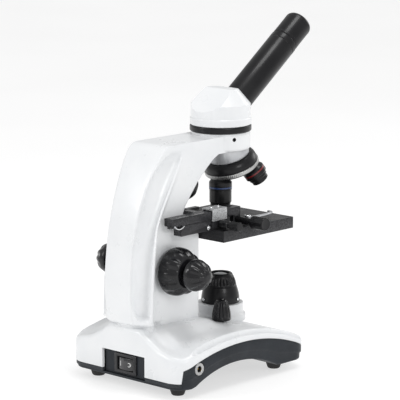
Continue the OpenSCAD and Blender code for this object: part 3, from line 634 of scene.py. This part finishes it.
def arm_half(z, front_y, nose_r):
    """Half of the arm's outline at height z, from the front centre round to the back centre."""
    # b, w and r stand for the back, the flat wall and the ridge: y... is a place and w... a half width
    yb, yw, wr, yr = back_y(z), interp(WALL_EDGE, z), interp(RIDGE_W, z), interp(RIDGE_Y, z)
    if z > TOP_ROUND_Z:
        shrink = TOP_ROUND_R - sqrt(max(0.0, TOP_ROUND_R ** 2 - (z - TOP_ROUND_Z) ** 2))
        yb -= 1.2 * shrink
        wr -= 0.02 * shrink
    w = ARM_HALF_W
    pts = nose_front(nose_r, w) if nose_r else wall_front(front_y, w)
    y0 = pts[-1][1]
    pts += [(w, y0 + (yw - y0) * i / 10) for i in range(1, 11)]
    k = ease((z - 63) / 6) * ease((223.5 - z) / 8)
    upper = ease((z - 160) / 50)
    ws = interp(STRIP_W, z)
    ye = yb - 1.2 - interp(STRIP_IN, z)
    a, b = (wr - 0.9 * k, yr + 1.0), (ws, ye)
    deep1 = (min(ws + 1.5, wr - 5.0) - 1.5 * upper, yr + (-6.0 * (1 - upper) + 1.5 * upper))
    deep2 = (ws - 3.5 - 4.0 * upper, ye - (ye - yr) * (0.85 - 0.50 * upper))
    reach = max(1.5, yr - yw)
    pts += bezier([(w, yw), (w + 0.1, yw + reach * 0.4), (wr - 0.3, yr - reach * 0.45), (wr, yr - 0.9)], 11)
    pts += bezier([(wr, yr - 0.9), (wr + 0.25 * k, yr + 0.1), a], 4)
    for i, (x, y) in enumerate(bezier([a, deep1, deep2, b], 24)):
        u = (i + 1) / 24
        m = k * scooped(u, z)
        flat = (a[0] + (b[0] - a[0]) * u, a[1] + (b[1] - a[1]) * u)
        pts.append((flat[0] + (x - flat[0]) * m, flat[1] + (y - flat[1]) * m))
    pts += [(ws + (yb - 1.6 - ye) * 0.02, ye + (yb - 1.6 - ye) * t) for t in (0.33, 0.66, 1.0)]
    c = pts[-1]
    pts += bezier([c, (c[0], yb - 0.1), (c[0] - 2.2 - 5.0 * ease((95 - z) / 25), yb)], 5)
    end = pts[-1][0]
    pts += [(end * (1 - i / 6), yb + 0.35 * sin(pi / 2 * i / 6)) for i in range(1, 7)]
    return pts


def make_arm():
    rows = []

    def add(z, front=None, nose=None):
        rows.append([(x, y, z) for x, y in arm_half(min(z, 229.6), front, nose)])

    # the neck under the arm's toe, pulled in at the back
    for z, pull in ((46, 5.5), (57, 5.5), (61, 5.3), (62.0, 4.4), (62.8, 3.2), (63.6, 1.9), (64.4, 0.7),
                    (65.5, 0)):
        row = []
        for x, y in arm_half(z, ARM_FRONT, None):
            f = ease((y - 92) / 14)
            row.append((x - pull * f * min(1, x / 12), y - pull * 1.2 * f, z))
        rows.append(row)
    for i in range(24):
        add(66.5 + 30 * i / 24, ARM_FRONT)
    for i in range(18):
        add(96.5 + (138.4 - 96.5) * i / 17, ARM_FRONT)
    for z, front in ((139.6, 41.7), (140.5, 42.4), (141, 43.6), (141, 59.9), (141.6, 61.8), (143, WALL_FRONT),
                     (147, WALL_FRONT), (155, WALL_FRONT)):
        add(z, front)
    for i in range(34):
        z = 158 + (213.6 - 158) * i / 33
        add(z, interp(FRONT_EDGE, z) if z > 163 else WALL_FRONT)
    for z, r in ((214, 23.0), (214, 26.6), (214.6, 28.0), (215.8, 28.8), (217.4, 29), (220, 29), (222.4, 29),
                 (224.8, 29), (226, 29), (227, 29), (228, 29), (228.8, 29), (229.4, 29), (229.6, 28.9)):
        add(z, None, r)
    rings = [row + [(-x, y, z) for x, y, z in reversed(row[1:-1])] for row in rows]
    verts = [p for ring in rings for p in ring]
    faces = stacked(rings)
    half, n = len(rows[0]), len(rings[0])
    top = (len(rows) - 1) * n
    # both ends are closed with strips across, from one half to the other
    for base, flip in ((0, True), (top, False)):
        for k in range(half - 1):
            a, b = base + k, base + k + 1
            c, d = base + (n - k - 1) % n, base + (n - k) % n
            q = [a, b] + ([c] if c != b else []) + ([d] if d != a else [])
            faces.append(tuple(q[::-1] if flip else q))
    arm = piece("arm_casting", verts, faces, WHITE, "stand", ["arm"], 50)
    carve(arm, [
        (*solid_box((-17, 45.5, 64), (17, 98, 155)), None),
        (*solid_box((-9, 30, 66), (9, 47, 160)), None),
        (*rod(8, 60), at(*FOCUS_AXIS) @ at(-30, 0, 0) @ ALONG_X),
        (*rod(6, 30), LAMP @ at(0, 0, -28)),
        (*rod(2.0, 14), at(0, AXIS_Y, 226) @ turn(-110, "Z") @ turn(90, "X") @ at(0, 0, 19.5)),
    ])
    arm.data.set_sharp_from_angle(angle=radians(42))
    collar = [(18.4, 229.0), (18.4, 231.6), (27.8, 231.6), (28.6, 231.0), (28.8, 229.4), (28.8, 228.4),
              (18.4, 228.4)]
    lathe("arm_top_collar", collar, at(0, AXIS_Y, 0), WHITE, "stand", [], r=0.5, closed=True)


# ---------- head, tube and eyepiece ----------
def make_head():
    ring = [(18.3, 0), (28.9, 0), (29.8, 0.5), (30, 1.2), (30, 4.9), (29.8, 5.6), (29.0, 6), (18.3, 6)]
    lathe("head_ring_detail", ring, at(0, AXIS_Y, 231.6), SATIN, "stand", ["head_ring"],
          r=0.3, closed=True)
    moulded("head_clamp_screw", SATIN, "stand", 0.25)
    outline = [(0, 237.9), (29.0, 237.9), (29.8, 238.5), (29.8, 244.2), (29.4, 244.9), (29.0, 245.3),
               (29.0, 257.9)]
    outline += [(29.0 - 12.0 * t, 257.9 + 14.6 * t) for t in (0.25, 0.5, 0.75, 1.0)] + [(0, 272.5)]
    head = lathe("head_shell", outline, at(0, AXIS_Y, 0), WHITE, "head", ["head_body"], 128, 0,
                 smooth=0)
    bm = bmesh.new()
    bm.from_mesh(head.data)
    # two flat cuts: the sloped back, and the face that the tube stands on
    up = Vector((0, 0, 1))
    for z, facing, depth in ((251.9, turn(-38, "X").to_3x3() @ up, 18), (241, TUBE.to_3x3() @ up, 27)):
        spot = Vector((0, AXIS_Y, z)) + facing * depth
        cut = bmesh.ops.bisect_plane(bm, geom=bm.verts[:] + bm.edges[:] + bm.faces[:], dist=1e-6,
                                     plane_co=spot * MM, plane_no=facing, clear_outer=True)
        edges = [e for e in cut["geom_cut"] if isinstance(e, bmesh.types.BMEdge)]
        bmesh.ops.edgeloop_fill(bm, edges=edges)
    bmesh.ops.remove_doubles(bm, verts=bm.verts, dist=2e-5)
    bm.to_mesh(head.data)
    bm.free()
    bevelled(head, 1.6, 4, 14)
    lathe("head_register", [(14, 226.5), (18.2, 226.5), (18.2, 238.2), (14, 238.2)], at(0, AXIS_Y, 0), CAST,
          "head", [], r=0.2, closed=True)
    lathe("tube_collar", [(14.3, 26.6), (16.6, 26.6), (16.6, 28.2), (16.0, 29.0), (14.3, 29.0)], TUBE, SATIN,
          "head", [], r=0.3, closed=True)
    barrel = [(11.66, 26), (14.25, 26), (14.25, 107.6), (13.95, 107.9), (13.95, 108.5), (14.25, 108.8),
              (14.25, 114.3), (13.8, 115), (12.1, 115), (11.66, 114.5)]
    lathe("tube_barrel", barrel, TUBE, SATIN, "head", ["eyepiece_tube"], 112, 0.15,
          closed=True)
    eyepiece = [(10.4, 83), (11.6, 83), (11.6, 114.6), (11.9, 115.2), (13.6, 115.3), (13.9, 115.7),
                (13.9, 140.6), (13.7, 141.8), (13.0, 143.1), (12.4, 143.8), (12.0, 144), (11.6, 143.8),
                (11.3, 143.0), (8.6, 141.2), (8.2, 140.5), (8.0, 118), (10.4, 114), (10.4, 83)]
    lathe("eyepiece_shell", eyepiece, TUBE, SATIN, "eyepiece", ["eyepiece_body"], 112, 0.3)
    for i, s in enumerate((117.4, 139.2)):
        lathe(f"eyepiece_line_{i + 1}", [(13.85, s), (13.98, s + 0.06), (13.98, s + 0.34), (13.85, s + 0.4)],
              TUBE, CRINKLE, "eyepiece", [], 112, 0.02, closed=True)
    lens = [(0, 136.2), (8.0, 136.2), (8.0, 139.2), (6.0, 140.0), (3.0, 140.5), (0, 140.7)]
    lathe("eye_lens_detail", lens, TUBE, COATED, "eyepiece", ["eye_lens"], 64, 0.3)


# ---------- lamps, knobs ----------
def make_lamps():
    rib_foot, rib_top, rib_count = 18.2, 25.6, 26

    def ribs(r, z, a):
        if rib_foot < z < rib_top and r > 12:
            across = (a / (2 * pi) * rib_count) % 1
            ends = ease((z - rib_foot) / 1.2) * ease((rib_top - z) / 1.6)
            return r - 0.95 * ease(1 - abs(across - 0.5) / 0.34) * ends
        return r

    dome = [(15.0, 0), (18.4, 0), (18.9, 0.6), (18.85, 3.0), (18.6, 6.0), (18.05, 9.0), (17.3, 12.0),
            (16.4, 14.8), (16.0, 16.2), (15.3, 16.5), (15.3, 17.2), (15.7, 17.5), (15.3, 19.2), (14.8, 21.2),
            (14.0, 23.4), (13.0, 25.6), (12.2, 27.2), (11.4, 28.5), (10.7, 29.0), (9.6, 29.1), (9.1, 28.8),
            (9.0, 27.6), (9.0, 13.2), (15, 13.0)]
    lathe("lamp_dome", dome, at(0, AXIS_Y, 61.4), SATIN, "stand", ["illuminator_dome"], 260,
          0.25, ribs, closed=True)
    lathe("lamp_lens", [(0, -3.6), (8.9, -3.6), (8.95, 0.6), (7.4, 1.6), (5.4, 2.4), (3.0, 2.9), (0, 3.1)],
          at(0, AXIS_Y, 87), FROST, "stand", ["collector_lens"], 72, 0.3)
    screw = [(0, 15.7), (0.85, 15.7), (0.85, 18.7), (1.6, 18.8), (1.6, 19.5), (1.2, 20.0), (0.7, 20.05),
             (0.6, 19.5), (0, 19.5)]
    for i, angle in enumerate((75, 195, 315)):
        lathe(f"dome_screw_{i + 1}", screw, at(0, AXIS_Y, 65.4) @ turn(angle, "Z") @ ALONG_X, CHROME, "stand",
              ["dome_screws"] if i == 0 else [], 32, 0.1)


def make_dimmer():
    def lobes(r, z, a):
        if r <= 3:
            return r
        return r - (0.5 - 0.5 * cos(14 * a)) ** 2 * ease((z - 2.4) / 2.0) * ease((19.6 - z) / 2.4)

    place = at(DIAL_X, DIAL_Y, DIAL_Z)
    knob = [(0, 0), (8.6, 0), (9.3, 0.7), (9.3, 2.4), (9.15, 5.0), (8.8, 8.0), (8.2, 11.0), (7.4, 14.0),
            (6.4, 16.6), (5.3, 18.6), (4.2, 19.7), (2.8, 20), (0, 19.8)]
    lathe("brightness_detail", knob, place, BLACK, "brightness", ["brightness_knob"], 216,
          0.4,
          lobes)
    lathe("brightness_stem", [(0, -3.8), (3.3, -3.8), (3.3, 0.5), (0, 0.5)], place, BLACK, "brightness", [],
          48, 0.1)
    block("brightness_mark", (DIAL_X - 0.4, DIAL_Y - 3.4, DIAL_Z + 19.85),
          (DIAL_X + 0.4, DIAL_Y - 0.8, DIAL_Z + 20.02), MARK, "brightness", 0.04)


def make_top_lamp():
    shell = [(0, -8), (5.9, -8), (5.9, 1.9), (13.3, 2.0), (14, 2.6), (14, 9.2), (13.6, 10.3), (9.6, 15.2),
             (9.0, 15.9), (8.0, 16), (7.2, 15.6), (7.0, 14.6), (7.0, 10.0), (0, 10.0)]
    lathe("top_lamp_shell", shell, LAMP, BLACK, "stand", ["top_lamp_housing"], 96, 0.4)
    lathe("top_lamp_glass", [(0, 10.6), (6.9, 10.6), (6.9, 13.4), (5.0, 14.0), (0, 14.4)], LAMP, FROST,
          "stand", ["top_lamp_lens"], 64, 0.3)


def coarse_lobes(r, z, a):
    if z < 27.5 or r < 13:
        return r
    return r - 2.3 * (0.5 + 0.5 * cos(10 * a)) ** 1.6 * ease((z - 27.5) / 9.0) * ease((47.7 - z) / 2.5)


def fine_lobes(r, z, a):
    if z < 57 or r < 3.2:
        return r
    wave = (0.5 + 0.5 * cos(10 * a)) ** 1.4
    return r - 1.5 * wave * ease((z - 57) / 4.5) * ease((71.4 - z) / 2.5) * min(1, r / 9)


def make_focus():
    coarse = [(6.05, 22.6), (11.4, 22.6), (12, 23.0), (12, 25.2), (12.6, 25.8), (19.0, 26.2), (21.4, 26.8),
              (22.6, 27.9), (23, 29.4), (23, 31.4), (22.95, 33.4), (22.8, 35.4), (22.4, 37.6), (21.9, 39.6),
              (21.1, 41.6), (20.0, 43.6), (18.6, 45.4), (17.0, 46.8), (15.4, 47.6), (14.0, 47.8), (9.0, 47.6),
              (8.6, 46.8), (3.5, 46.6), (3.5, 44.6), (6.05, 44.4)]
    fine = [(3.0, 48.3), (9.8, 48.3), (10, 51.2), (13.2, 51.7), (14.7, 52.6), (15.2, 54), (15.2, 56.4),
            (15.0, 58.6), (14.4, 60.8), (13.4, 62.9), (12.0, 65.0), (10.4, 66.9), (8.6, 68.6), (6.7, 70.0),
            (4.6, 71.0), (2.6, 71.5), (0, 71.5)]
    washer = [(6.1, 22.05), (9.6, 22.05), (9.8, 22.2), (9.8, 22.5), (6.1, 22.5)]
    for name, side in (("left", -1), ("right", 1)):
        place = at(*FOCUS_AXIS) @ turn(90 * side, "Y")
        lathe(f"coarse_{name}_detail", coarse, place, BLACK, "coarse_drive", [f"coarse_knob_{name}"],
              288, 0.45, coarse_lobes, closed=True)
        lathe(f"fine_{name}_detail", fine, place, BLACK, "fine_drive", [f"fine_knob_{name}"],
              240, 0.4, fine_lobes)
        lathe(f"focus_washer_{name}", washer, place, CAST, "stand", [], 64, 0.05, closed=True)


# ---------- nosepiece ----------
def objective_body(name, i, r, h, nose_r, nose_h, band, band_z, lens_r, node, knurled):
    """One objective, hanging down from its seat: a barrel with a coloured band, a stepped nose and a lens."""
    place = objective_place(i)
    tip = -h - nose_h
    knee = -h - nose_h * (0.72 if nose_h > 12 else 0.35)
    line = [(0, 3.0), (7.9, 3.0), (7.9, 0.2), (8.2, 0), (r - 0.9, -3.2), (r, -4.4), (r, band_z + 0.1),
            (r - 0.5, band_z), (r - 0.5, band_z - 1.7), (r, band_z - 1.8), (r, -h + 0.5), (r - 0.5, -h),
            (nose_r, -h - 0.25), (nose_r, knee), (nose_r - 0.9, knee - 0.9), (nose_r - 1.0, tip + 1.2),
            (nose_r - 2.4, tip + 0.1), (lens_r + 0.8, tip), (lens_r, tip + 0.5), (lens_r - 0.2, tip + 2.2),
            (0, tip + 2.2)]

    def knurl(q, z, a):
        if -6.6 > z > -8.2 and q > r - 0.3 and knurled:
            return q - 0.22 * (0.5 + 0.5 * cos(90 * a))
        return q

    lathe(f"{node}_detail", line, place, SATIN, "turret", [node], 144, 0.25, knurl)
    line = [(r - 0.6, band_z - 0.15), (r + 0.04, band_z - 0.15), (r + 0.04, band_z - 1.6),
            (r - 0.6, band_z - 1.6)]
    lathe(f"{name}_band", line, place, band, "turret", ["objective_bands"] if i == 0 else [],
          96,
          0.15, closed=True)
    line = [(0, tip + 2.1), (lens_r - 0.3, tip + 2.0), (lens_r * 0.6, tip + 1.3), (0, tip + 1.1)]
    lathe(f"{name}_lens", line, place, COATED, "turret", ["objective_lenses"] if i == 0 else [],
          48, 0.1)


def make_nosepiece():
    moulded("nosepiece_base", CAST, "stand", 0.8, 3)
    line = [(0, -47.5), (24.9, -47.5), (25.9, -47.0), (26.3, -46.2), (26.3, -42)]
    line += [(20 + 6.3 * cos(radians(a)), -42 + 9.2 * sin(radians(a)) / sin(radians(70)))
             for a in range(10, 71, 10)]
    line += [(20.4, -32.85), (0, -32.8)]
    disc = lathe("turret_shell", line, TURRET, SATIN, "turret", ["turret_disc"], 144, 0.3)
    seats = [(*rod(7.95, 30), objective_place(i)) for i in range(3)]
    seats += [(*rod(11.3, 13), objective_place(i) @ at(0, 0, -14)) for i in range(3)]
    carve(disc, seats)
    disc.data.set_sharp_from_angle(angle=radians(35))
    grip = [(26.3, -45.9), (27.1, -45.9), (27.3, -45.6), (27.3, -42.5), (27.1, -42.1), (26.3, -42.1)]
    lathe("turret_grip", grip, TURRET, NICKEL, "turret", ["turret_ring"], 360, 0.12,
          lambda r, z, a: r - (0.3 * (0.5 + 0.5 * cos(90 * a)) if r > 27 else 0), closed=True)
    objective_body("objective_a", 0, 11.2, 12, 10.8, 16.5, BLUE, -8.6, 3.4, "objective_40x", True)
    objective_body("objective_b", 1, 11.2, 11, 9.5, 8, RED, -5.6, 3.6, "objective_10x", True)
    objective_body("objective_c", 2, 10.4, 9, 9, 4, YELLOW, -5.2, 4.2, "objective_4x", False)


# ---------- stage and slide movement ----------
def split_saddle():
    """The saddle has a bright cast cap on a black lower half."""
    split = Vector((0, 0, 154.2)) * MM
    for name, mat, upper, nodes in (("saddle_cap", SPECKLED, True, ["pinion_bracket"]),
                                    ("saddle_block", CRINKLE, False, [])):
        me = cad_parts["pinion_bracket"].data.copy()
        bm = bmesh.new()
        bm.from_mesh(me)
        bmesh.ops.remove_doubles(bm, verts=bm.verts, dist=2e-6)
        bmesh.ops.bisect_plane(bm, geom=bm.verts[:] + bm.edges[:] + bm.faces[:], dist=1e-6, plane_co=split,
                               plane_no=(0, 0, -1 if upper else 1), clear_outer=True)
        bmesh.ops.holes_fill(bm, edges=[e for e in bm.edges if e.is_boundary])
        bmesh.ops.dissolve_limit(bm, angle_limit=radians(1.0), verts=bm.verts, edges=bm.edges)
        bm.to_mesh(me)
        bm.free()
        bevelled(adopt(name, me, mat, "stage", nodes, 0), 0.8 if upper else 0.4, 3)


def cap_screw(name, r, height, hole, place):
    """A small bright screw head with a round socket."""
    line = [(0, 0), (r, 0), (r, height - 0.3), (r - 0.4, height), (hole, height), (hole - 0.1, height / 2),
            (0, height / 2)]
    lathe(name, line, place, CHROME, "stage", [], 32, 0.1)


def make_finger():
    """The spring finger: a flat bent blade with a tip that presses on the slide."""
    ring = [(-3.3, 0.5), (-2.6, 2.2), (-0.5, 3.3), (1.9, 2.8), (3.2, 1.0), (3.3, -1.4), (2.4, -6.0),
            (1.7, -12), (1.2, -20), (1.3, -28), (2.6, -34), (5.4, -38.4), (9.2, -40), (9.4, -41.2),
            (5.2, -40.9), (1.4, -38.2), (-0.6, -33.6), (-1.6, -28), (-2.0, -20), (-2.4, -12), (-3.0, -5)]
    pivot_x, pivot_y = -42, -3.8
    verts = [(pivot_x + x, pivot_y + y, 150.4 + z) for z in (0.1, 1.7) for x, y in ring]
    n = len(ring)
    faces = [tuple(range(n - 1, -1, -1)), tuple(range(n, 2 * n))]
    faces += [(k, (k + 1) % n, n + (k + 1) % n, n + k) for k in range(n)]
    bevelled(piece("finger_arm", verts, faces, STEEL, "finger", ["spring_finger"], 30), 0.35)
    block("finger_tip", (-33.8, -45.2, 146.9), (-31.9, -43.4, 151.9), STEEL, "finger", 0.5)
    screw = [(0, 0), (3.0, 0), (3.2, 0.3), (3.2, 1.5), (2.7, 2.0), (0.8, 2.1), (0.7, 1.4), (0, 1.4)]
    lathe("finger_screw", screw, at(pivot_x, pivot_y, 152.4), CHROME, "x_slide", [], 48, 0.2)


def make_stage():
    moulded("stage_plate", CRINKLE, "stage", 1.0, 3)
    moulded("stage_bracket", CRINKLE, "stage", 0.5)
    moulded("stage_guide", CRINKLE, "stage", 0.5)
    split_saddle()
    moulded("cross_slide", SATIN, "y_slide", 1.1, 3)
    moulded("slide_holder", SATIN, "x_slide", 0.35)
    make_finger()
    # knurled knobs of the slide movement, both on axes along X
    y_knob = [(0, 2), (4.0, 2), (4.3, 2.5), (4.3, 12.6), (3.9, 13.2), (3.2, 13.6), (3.2, 16.2), (4.3, 16.8),
              (4.3, 25.3), (2.55, 25.4), (2.55, 41), (0, 41)]
    lathe("y_knob_detail", y_knob, at(-68, 33, 151) @ ALONG_X, SATIN, "y_drive", ["y_knob"],
          144, 0.3,
          lambda r, z, a: r - (0.3 * (0.5 + 0.5 * cos(28 * a)) if 2.6 < z < 12.4 and r > 4 else 0))
    x_knob = [(0, 0.4), (4.8, 0.2), (5.8, 0.0), (6.3, 0.7), (6.3, 15.8), (5.7, 16.8), (3.4, 17),
              (3.15, 17.4), (3.15, 47), (0, 47)]
    lathe("x_knob_detail", x_knob, at(-75, 6.5, 151) @ ALONG_X, SATIN, "x_drive", ["x_knob"],
          160, 0.3,
          lambda r, z, a: r - (0.4 * (0.5 + 0.5 * cos(32 * a)) if 1.2 < z < 15.4 and r > 6 else 0))
    # engraved scales: plain ticks with no figures
    for i in range(19):
        y = 52 + i * 2
        block(f"y_scale_{i:02d}", (-37.2, y, 163.58), (-35.6 if i % 5 else -34.2, y + 0.3, 163.66), MARK,
              "y_slide", 0.01)
    for i in range(26):
        x = -22 + i * 2
        long = i % 5 == 0
        block(f"x_scale_{i:02d}", (x, 7.0 if long else 8.0, 150.98), (x + 0.3, 9.2, 151.06), MARK, "y_slide",
              0.01)
    cap_screw("guide_screw", 2.1, 1.2, 0.8, at(-38, 47, 148.6) @ turn(-90, "Y"))
    # a bent strip on the slide's rear end
    bend = bezier([(95, 157.2), (94.5, 153.4), (88, 151.4), (83, 155.8)], 14)
    section = ((-41.2, 0), (-38.8, 0), (-38.8, 0.8), (-41.2, 0.8))
    verts = [(x, y, z + dz) for y, z in bend for x, dz in section]
    faces = [(0, 1, 2, 3), tuple(len(verts) - 4 + k for k in (3, 2, 1, 0))]
    faces += [(4 * i + k, 4 * i + 4 + k, 4 * i + 4 + (k + 1) % 4, 4 * i + (k + 1) % 4)
              for i in range(len(bend) - 1) for k in range(4)]
    piece("slide_end_stop", verts, faces, CHROME, "y_slide", [], 40)
    for i, y in enumerate((28, 38)):
        cap_screw(f"bracket_screw_{i + 1}", 1.7, 1.0, 0.7, at(-33, y, 165.8))
    lathe("stage_ring", [(11.1, 0), (13.2, 0), (13.3, 0.12), (11.1, 0.14)], at(0, AXIS_Y, 145.58), SATIN,
          "stage", [], 96, 0.02, closed=True)


# ---------- the parts that stay as the CAD made them ----------
KEPT = {
    "foot_screws": STEEL, "dc_jack_pin": BRASS, "driver_board": BOARD, "led_board": PALE, "led_emitter": LED,
    "potentiometer": CAST, "arm_screws": STEEL, "sleeve_bushes": BRASS, "guide_rails": STEEL,
    "head_prism": GLASS, "field_lens": GLASS, "coarse_sleeve": STEEL, "fine_shaft": STEEL,
    "fine_carriage": STEEL, "condenser_lens": FROST, "diaphragm_disc": SATIN,
}


def dress_kept():
    for node, mat in KEPT.items():
        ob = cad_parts[node]
        for s in ob.material_slots:
            s.material = mat


# ---------- stage light, floor and camera ----------
def area(name, place, target, size, power, colour=(1, 1, 1)):
    data = bpy.data.lights.new(name, "AREA")
    data.energy, data.size, data.color = power, size, colour
    ob = bpy.data.objects.new(name, data)
    bpy.context.scene.collection.objects.link(ob)
    ob.location = place
    ob.rotation_euler = (Vector(target) - Vector(place)).to_track_quat("-Z", "Y").to_euler()


def make_studio():
    me = bpy.data.meshes.new("floor")
    me.from_pydata([(-6, -6, 0), (6, -6, 0), (6, 6, 0), (-6, 6, 0)], [], [(0, 1, 2, 3)])
    n = Nodes("pale_floor")
    n.link(n.ramp(n.noise(3), [(0.3, (0.42, 0.42, 0.42)), (0.7, (0.45, 0.45, 0.45))]), "Base Color")
    n.put(Roughness=0.6, Emission_Color=(1, 1, 1, 1), Emission_Strength=0.62)
    me.materials.append(n.mat)
    floor = bpy.data.objects.new("floor", me)
    bpy.context.scene.collection.objects.link(floor)
    world = bpy.data.worlds.new("studio")
    world.use_nodes = True
    # white backdrop for the camera, softer surroundings for the shading
    tree = world.node_tree
    back = tree.nodes["Background"]
    back.inputs["Color"].default_value = (1, 1, 1, 1)
    path = tree.nodes.new("ShaderNodeLightPath")
    level = tree.nodes.new("ShaderNodeMapRange")
    level.inputs["To Min"].default_value, level.inputs["To Max"].default_value = 0.60, 1.0
    tree.links.new(path.outputs["Is Camera Ray"], level.inputs["Value"])
    tree.links.new(level.outputs["Result"], back.inputs["Strength"])
    bpy.context.scene.world = world
    bpy.context.scene.view_settings.view_transform = "Standard"
    look = (0, 0.03, 0.15)
    area("key", (0.9, 1.5, 1.0), look, 0.6, 9)
    area("side", (-1.5, 0.5, 0.8), look, 0.5, 6)
    area("top", (-0.3, -0.1, 1.6), look, 0.5, 7)
    area("front", (-0.2, -1.5, 0.7), look, 0.6, 3)


def make_camera():
    target = Vector((-17.78, 37, 171.46)) * MM
    az, el, far = radians(223.23), radians(10.84), 2.2566
    away = Vector((sin(az) * cos(el), -cos(az) * cos(el), sin(el)))
    data = bpy.data.cameras.new("camera")
    data.lens, data.sensor_width = 212.9, 36
    data.clip_start, data.clip_end = 0.05, 50
    cam = bpy.data.objects.new("camera", data)
    bpy.context.scene.collection.objects.link(cam)
    cam.location = target + away * far
    cam.rotation_euler = (-away).to_track_quat("-Z", "Y").to_euler()
    bpy.context.scene.camera = cam


make_shell()
make_band()
make_floor()
make_ribs_and_feet()
make_panel()
make_arm()
make_camera()
make_head()
make_lamps()
make_dimmer()
make_top_lamp()
make_focus()
make_nosepiece()
make_stage()
dress_kept()
make_studio()
